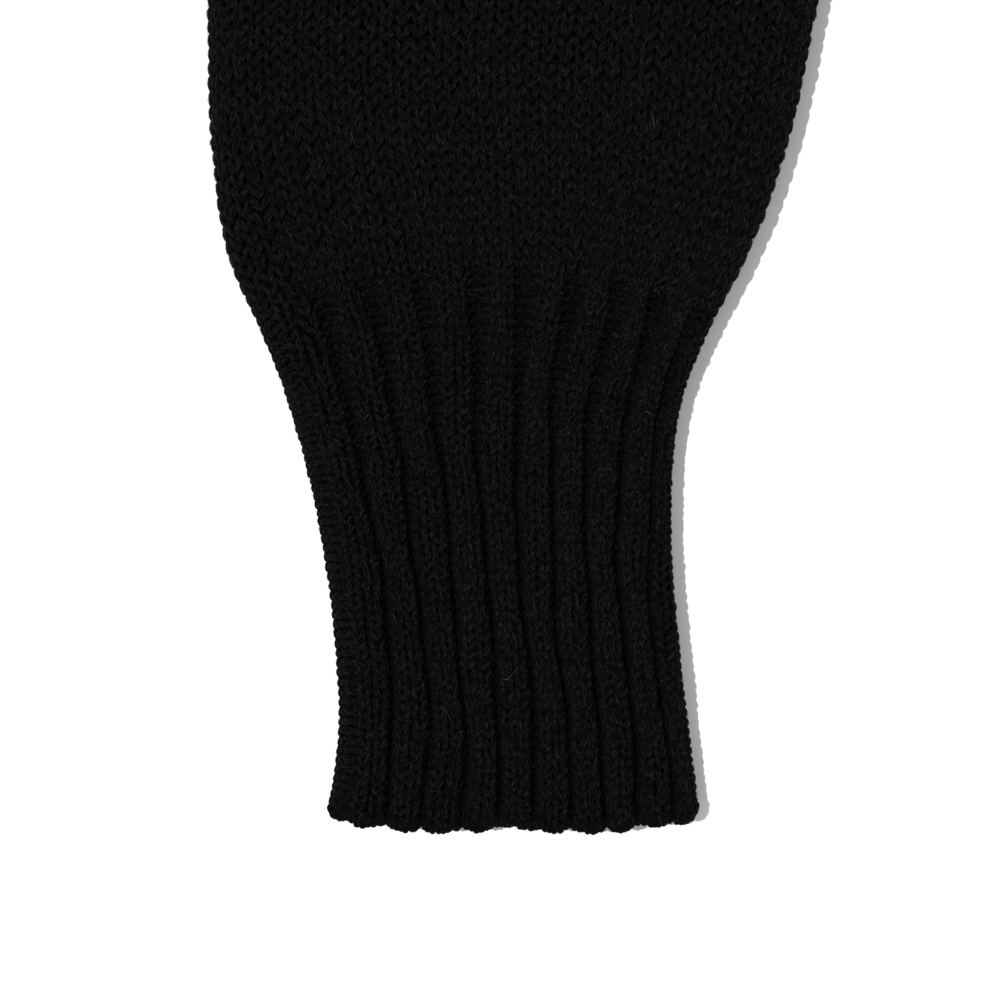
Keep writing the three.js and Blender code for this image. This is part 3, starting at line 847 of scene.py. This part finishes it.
def yarn_material(name, dark, light, sheen):
    """Dyed wool: fine fibres wound along the yarn, a few of them catching the light."""
    made, tree, shader = material(name, dark, 0.85)
    nodes, links = tree.nodes, tree.links
    shader.inputs["Specular IOR Level"].default_value = 0.035
    shader.inputs["Sheen Weight"].default_value = sheen
    shader.inputs["Sheen Roughness"].default_value = 0.45
    shader.inputs["Sheen Tint"].default_value = (0.82, 0.82, 0.82, 1)
    uv = nodes.new("ShaderNodeUVMap")
    uv.uv_map = "yarn"
    stretch = nodes.new("ShaderNodeMapping")
    stretch.inputs["Rotation"].default_value = (0, 0, 0.30)
    stretch.inputs["Scale"].default_value = (9.0, 1.1, 1)
    links.new(uv.outputs[0], stretch.inputs[0])
    fibres = nodes.new("ShaderNodeTexNoise")
    fibres.inputs["Scale"].default_value = 1.6
    fibres.inputs["Detail"].default_value = 3.0
    links.new(stretch.outputs[0], fibres.inputs["Vector"])
    place = nodes.new("ShaderNodeTexCoord")
    patches = nodes.new("ShaderNodeTexNoise")
    patches.inputs["Scale"].default_value = 260.0
    patches.inputs["Detail"].default_value = 3.0
    links.new(place.outputs["Object"], patches.inputs["Vector"])
    ramp = nodes.new("ShaderNodeValToRGB")
    ramp.color_ramp.elements[0].position = 0.36
    ramp.color_ramp.elements[0].color = (*[c * 0.55 for c in dark], 1)
    ramp.color_ramp.elements[1].position = 0.78
    ramp.color_ramp.elements[1].color = (*light, 1)
    middle = ramp.color_ramp.elements.new(0.58)
    middle.color = (*dark, 1)
    links.new(fibres.outputs["Fac"], ramp.inputs[0])
    tone = nodes.new("ShaderNodeMix")
    tone.data_type = "RGBA"
    tone.blend_type = "MULTIPLY"
    tone.inputs[0].default_value = 0.7
    shade = nodes.new("ShaderNodeValToRGB")
    shade.color_ramp.elements[0].position = 0.35
    shade.color_ramp.elements[0].color = (0.72, 0.72, 0.72, 1)
    shade.color_ramp.elements[1].position = 0.70
    shade.color_ramp.elements[1].color = (1.26, 1.26, 1.26, 1)
    links.new(patches.outputs["Fac"], shade.inputs[0])
    links.new(ramp.outputs[0], tone.inputs[6])
    links.new(shade.outputs[0], tone.inputs[7])
    links.new(tone.outputs[2], shader.inputs["Base Color"])
    bump = nodes.new("ShaderNodeBump")
    bump.inputs["Strength"].default_value = 0.9
    bump.inputs["Distance"].default_value = 0.00025
    links.new(fibres.outputs["Fac"], bump.inputs["Height"])
    links.new(bump.outputs[0], shader.inputs["Normal"])
    return made


def shaded_inside_material(name, colour):
    """The inside of the fabric, ribbed with the backs of its stitches, and coloured darker than the yarn as
    painted shade in the gaps between them.
    """
    made, tree, shader = material(name, colour, 0.95)
    nodes, links = tree.nodes, tree.links
    shader.inputs["Specular IOR Level"].default_value = 0.03
    place = nodes.new("ShaderNodeTexCoord")
    cells = nodes.new("ShaderNodeTexVoronoi")
    cells.inputs["Scale"].default_value = 420.0
    links.new(place.outputs["Object"], cells.inputs["Vector"])
    ramp = nodes.new("ShaderNodeValToRGB")
    ramp.color_ramp.elements[0].color = (*[c * 1.5 for c in colour], 1)
    ramp.color_ramp.elements[1].color = (*[c * 0.5 for c in colour], 1)
    links.new(cells.outputs["Distance"], ramp.inputs[0])
    links.new(ramp.outputs[0], shader.inputs["Base Color"])
    bump = nodes.new("ShaderNodeBump")
    bump.inputs["Distance"].default_value = 0.0006
    links.new(cells.outputs["Distance"], bump.inputs["Height"])
    links.new(bump.outputs[0], shader.inputs["Normal"])
    return made


def felt_material(name, colour):
    """Pressed felt: short fibres in every direction, a little rough."""
    made, tree, shader = material(name, colour, 0.95)
    nodes, links = tree.nodes, tree.links
    shader.inputs["Specular IOR Level"].default_value = 0.04
    shader.inputs["Sheen Weight"].default_value = 0.05
    place = nodes.new("ShaderNodeTexCoord")
    hairs = nodes.new("ShaderNodeTexNoise")
    hairs.inputs["Scale"].default_value = 1400.0
    hairs.inputs["Detail"].default_value = 6.0
    hairs.inputs["Distortion"].default_value = 2.5
    links.new(place.outputs["Object"], hairs.inputs["Vector"])
    ramp = nodes.new("ShaderNodeValToRGB")
    ramp.color_ramp.elements[0].position = 0.35
    ramp.color_ramp.elements[0].color = (*[c * 0.5 for c in colour], 1)
    ramp.color_ramp.elements[1].position = 0.72
    ramp.color_ramp.elements[1].color = (*[c * 2.4 for c in colour], 1)
    links.new(hairs.outputs["Fac"], ramp.inputs[0])
    links.new(ramp.outputs[0], shader.inputs["Base Color"])
    bump = nodes.new("ShaderNodeBump")
    bump.inputs["Strength"].default_value = 0.7
    bump.inputs["Distance"].default_value = 0.0002
    links.new(hairs.outputs["Fac"], bump.inputs["Height"])
    links.new(bump.outputs[0], shader.inputs["Normal"])
    return made


def plated_material(name, colour):
    """Nickel plate with a few duller patches."""
    made, tree, shader = material(name, colour, 0.25)
    nodes, links = tree.nodes, tree.links
    shader.inputs["Metallic"].default_value = 1.0
    place = nodes.new("ShaderNodeTexCoord")
    patches = nodes.new("ShaderNodeTexNoise")
    patches.inputs["Scale"].default_value = 320.0
    patches.inputs["Detail"].default_value = 5.0
    links.new(place.outputs["Object"], patches.inputs["Vector"])
    dull = nodes.new("ShaderNodeMapRange")
    dull.inputs["To Min"].default_value = 0.18
    dull.inputs["To Max"].default_value = 0.42
    links.new(patches.outputs["Fac"], dull.inputs["Value"])
    links.new(dull.outputs[0], shader.inputs["Roughness"])
    ramp = nodes.new("ShaderNodeValToRGB")
    ramp.color_ramp.elements[0].color = (*[c * 0.8 for c in colour], 1)
    ramp.color_ramp.elements[1].color = (*colour, 1)
    links.new(patches.outputs["Fac"], ramp.inputs[0])
    links.new(ramp.outputs[0], shader.inputs["Base Color"])
    return made


wool = yarn_material("black_wool", (0.0019, 0.00195, 0.00195), (0.0150, 0.0153, 0.0152), 0.006)
# The inside is darker than the yarn: painted shade behind the gaps between the stitches.
inside = shaded_inside_material("knit_inside_painted_shade", (0.0010, 0.0010, 0.0010))
# The loose and lit fibres are coloured far lighter than the yarn they come from: painted highlight, for
# fibres catching the light.
highlight_fibre_wool = yarn_material("loose_fibres_painted_highlight", (0.030, 0.0308, 0.0307), (0.104, 0.1062, 0.1058), 0.05)
lint = yarn_material("lint", (0.10, 0.10, 0.11), (0.30, 0.30, 0.31), 0.10)

# ---- the pieces ----

RIB_ROWS = ((0, 20), (20, 39), (39, RIB_COURSES))
HAND_ROWS = ((RIB_COURSES, 75), (75, RIB_COURSES + HAND_COURSES))
half = HAND_WALES // 2
THUMB_BLEND_COURSES = 8


def purl_of(u, v, courses):
    return (u % 4 < 2) & (v < courses)


for face, wales, each in (("back", (0, half), 5), ("palm", (half, HAND_WALES), 2)):
    for part, rows in enumerate(RIB_ROWS):
        yarn = Yarn(each)
        u, v, side = field(hand, wales, rows)
        knit(yarn, hand, u, v, side, purl_of(u, v, RIB_COURSES - 1), 0.95, steep=0.78)
        first = part == 0 and face == "back"
        knit_piece(f"cuff_{face}_rib_{part + 1}", yarn, "hand", ("cuff_rib",) if first else ())
    for part, rows in enumerate(HAND_ROWS):
        yarn = Yarn(each)
        u, v, side = field(hand, wales, rows)
        own = (v < THUMB_FIRST - THUMB_BLEND_COURSES) | (abs(u + 0.5 - half) > THUMB_SPLIT)
        knit(yarn, hand, u[own], v[own], side[own], purl_of(u, v, 0)[own], 1.04)
        first = part == 0 and face == "back"
        nodes = ("hand_shell", "thumb_gusset") if first else ()
        knit_piece(f"hand_{face}_knit_{part + 1}", yarn, "hand", nodes)

# The dark sheets under the stitches carry painted shade, standing in for the fabric's inner face.
shade_backing = shell(hand, (0, HAND_WALES), (0.1, 80), 320, 130)
piece("hand_shade_backing", shell_mesh("hand_shade_backing", *shade_backing), inside, "hand")
fingers = Fingers()
shade_backing = shell(fingers, (0, fingers.wales), (-18, 9.2), 256, 60)
piece("knuckle_shade_backing", shell_mesh("knuckle_shade_backing", *shade_backing), inside, "hand")

yarn = Yarn()
cast_on(yarn, hand, (0, HAND_WALES))
piece("cast_on_edge", yarn.mesh("cast_on_edge"), wool, "hand", ("cuff_welt",))
yarn = Yarn()
u, v, side = field(hand, (0, HAND_WALES), (0, 8))
inside_knit(yarn, hand, u, v, side, purl_of(u, v, RIB_COURSES))
piece("cuff_inside_knit", yarn.mesh("cuff_inside_knit"), wool, "hand", ())

for face, wales in (("back", (0, FINGER_WALES // 2)), ("palm", (FINGER_WALES // 2, FINGER_WALES))):
    yarn = Yarn(2)
    u, v, side = field(fingers, wales, (0, 9))
    knit(yarn, fingers, u, v, side, purl_of(u, v, 0))
    knit_piece(f"knuckle_{face}_knit", yarn, "hand")

# Where the thumb's wales leave the hand. The pieces given this tuple in place of a body are left unattached,
# with their transforms applied.
THUMB_BEND = ("hand", "thumb", (54, 124, 8), (61, 148, 8))
THUMB_COURSES = 24
yarn = Yarn(4)
first = int(THUMB_FIRST)
u, v, side = field(hand, (half - THUMB_SPLIT, half + THUMB_SPLIT), (first - THUMB_BLEND_COURSES, first))
knit(yarn, hand, u, v, side, purl_of(u, v, 0), 1.04)
thumb_cap = Cap(thumb_tube, 49.0, THUMB_LENGTH)
u, v, side = field(thumb_tube, (0, THUMB_WALES), (0, THUMB_COURSES), thumb_cap)
knit(yarn, thumb_tube, u, v, side, purl_of(u, v, 0), 1.04)
u, v, side = field(thumb_cap, (0, thumb_cap.wales), (0, thumb_cap.courses))
knit(yarn, thumb_cap, u, v, side, purl_of(u, v, 0), 1.04)
knit_piece("thumb_knit", yarn, THUMB_BEND, ("thumb_tube",))
strip = shell(hand, (half - THUMB_SPLIT - 0.5, half + THUMB_SPLIT + 0.5), (76, 88), 40, 24, ring=False)
piece("thumb_gusset_shade_backing", shell_mesh("thumb_gusset_shade_backing", *strip), inside, THUMB_BEND)
sleeve = shell(thumb_tube, (0, THUMB_WALES), (-2, THUMB_COURSES - 1.2), 88, 60)
piece("thumb_shade_backing", shell_mesh("thumb_shade_backing", *sleeve), inside, THUMB_BEND)
yarn = Yarn()
fuzz(yarn, thumb_tube, 900, (0, THUMB_WALES), (0, THUMB_COURSES))
piece("thumb_fibres", yarn.mesh("thumb_fibres"), highlight_fibre_wool, THUMB_BEND)

# ---- the flap ----

flap_cap = Cap(flap, 222.0, FLAP_TIP + 0.4)
flap_names = (("band", "flap_back_band", "flap_lip_band", (0, BAND_COURSES)),
              ("knit_1", "flap_back_panel", "flap_palm_panel", (BAND_COURSES, 24)),
              ("knit_2", None, None, (24, FLAP_COURSES)))
for part, back_node, palm_node, rows in flap_names:
    for face, wales, node in (("back", (0, 32), back_node), ("palm", (32, 64), palm_node)):
        yarn = Yarn(4 if face == "back" else 2)
        u, v, side = field(flap, wales, rows, flap_cap)
        knit(yarn, flap, u, v, side, purl_of(u, v, BAND_COURSES), 1.04)
        knit_piece(f"flap_{face}_{part}", yarn, "flap", (node,) if node else ())
yarn = Yarn(4)
u, v, side = field(flap_cap, (0, flap_cap.wales), (0, flap_cap.courses))
knit(yarn, flap_cap, u, v, side, purl_of(u, v, 0), 1.04)
knit_piece("flap_tip_knit", yarn, "flap")
shade_backing = shell(flap, (0, FLAP_WALES), (0.0, FLAP_COURSES - 0.5), 256, 90)
piece("flap_shade_backing", shell_mesh("flap_shade_backing", *shade_backing), inside, "flap")
for face, wales in (("back", (0, 32)), ("palm", (32, 64))):
    yarn = Yarn()
    fuzz(yarn, flap, 2200, wales, (0, FLAP_COURSES))
    piece(f"flap_{face}_fibres", yarn.mesh(f"flap_{face}_fibres"), highlight_fibre_wool, "flap")

# ---- the finger sleeves ----

for finger in ("little", "ring", "middle", "index"):
    tube = Sleeve(f"{finger}_sleeve", f"{finger}_edge")
    yarn = Yarn(4)
    u, v, side = field(tube, (0, tube.wales), (0, tube.courses))
    knit(yarn, tube, u, v, side, purl_of(u, v, 0))
    knit_piece(f"{finger}_knit", yarn, "hand", (f"{finger}_sleeve",))
    yarn = Yarn()
    u, v, side = field(tube, (0, tube.wales), (tube.courses, tube.courses + 1))
    knit(yarn, tube, u, v, side, u > -1, 1.15)
    bind_off(yarn, tube, tube.courses + 1)
    piece(f"{finger}_bind_off", yarn.mesh(f"{finger}_bind_off"), wool, "hand", (f"{finger}_edge",))
    shade_backing = shell(tube, (0, tube.wales), (-1.2, tube.courses + 1.35), 64, 40)
    piece(f"{finger}_lining", shell_mesh(f"{finger}_lining", *shade_backing), inside, "hand")
    yarn = Yarn()
    fuzz(yarn, tube, 300, (0, tube.wales), (0, tube.courses + 1))
    piece(f"{finger}_fibres", yarn.mesh(f"{finger}_fibres"), highlight_fibre_wool, "hand")

# ---- fibres on the hand ----

for face, wales, count in (("back", (0, half), 3400), ("palm", (half, HAND_WALES), 1800)):
    for part, rows in (("cuff", (-0.3, RIB_COURSES)), ("hand", (RIB_COURSES, 85))):
        yarn = Yarn()
        fuzz(yarn, hand, count, wales, rows)
        piece(f"{part}_{face}_fibres", yarn.mesh(f"{part}_{face}_fibres"), highlight_fibre_wool, "hand")
yarn = Yarn()
fuzz(yarn, hand, 36, (0, half), (2, 84), thick=0.05, length=2.2, rise=0.5, wander=1.4)
piece("hand_lint", yarn.mesh("hand_lint"), lint, "hand")

# ---- sewing ----

for node, body in (("flap_seam", "hand"), ("flap_tack_little_side", "hand"), ("flap_tack_index_side", "hand"),
                   ("little_ring_join", "hand"), ("ring_middle_join", "hand"), ("middle_index_join", "hand"),
                   ("thumb_tip_graft", "thumb"), ("flap_tip_graft", "flap")):
    yarn = Yarn()
    overcast(yarn, node, thumb_tube if body == "thumb" else hand)
    piece(f"{node}_yarn", yarn.mesh(f"{node}_yarn"), wool, body, (node,))

# ---- the magnets that hold the flap back, inside their pockets ----

felt = felt_material("pocket_felt", (0.006, 0.006, 0.006))
nickel = plated_material("nickel_plate", (0.60, 0.58, 0.54))
for part in ("hand", "flap"):
    frame["nodes"][f"{part}_magnet"].material_slots[0].material = nickel
    frame["nodes"][f"{part}_magnet_pocket"].material_slots[0].material = felt

# ---- floor, light and camera ----

bpy.ops.mesh.primitive_plane_add(size=8, location=(0, 0, 0))
floor = bpy.context.object
floor.name = "floor"
white, _, white_shader = material("floor_white", (0.92, 0.92, 0.92), 0.9)
white_shader.inputs["Specular IOR Level"].default_value = 0.0
floor.data.materials.append(white)

scene = bpy.context.scene
scene.view_settings.view_transform = "Standard"
world = scene.world or bpy.data.worlds.new("studio")
scene.world = world
world.use_nodes = True
world.node_tree.nodes["Background"].inputs[0].default_value = (1, 1, 1, 1)
world.node_tree.nodes["Background"].inputs[1].default_value = 0.62

key = bpy.data.lights.new("key", "SUN")
key.energy = 2.7
key.angle = math.radians(1.0)
key_object = bpy.data.objects.new("key", key)
key_object.rotation_euler = (math.radians(-2), math.radians(-19.5), 0)
scene.collection.objects.link(key_object)

VIEW_SIZE = 0.200
VIEW_CENTRE = (0.0, 0.014, 0.008)
camera = bpy.data.cameras.new("camera")
camera.lens = 130
camera.sensor_width = 36
camera_object = bpy.data.objects.new("camera", camera)
distance = VIEW_SIZE * camera.lens / camera.sensor_width
camera_object.location = (VIEW_CENTRE[0], VIEW_CENTRE[1], VIEW_CENTRE[2] + distance)
scene.collection.objects.link(camera_object)
scene.camera = camera_object
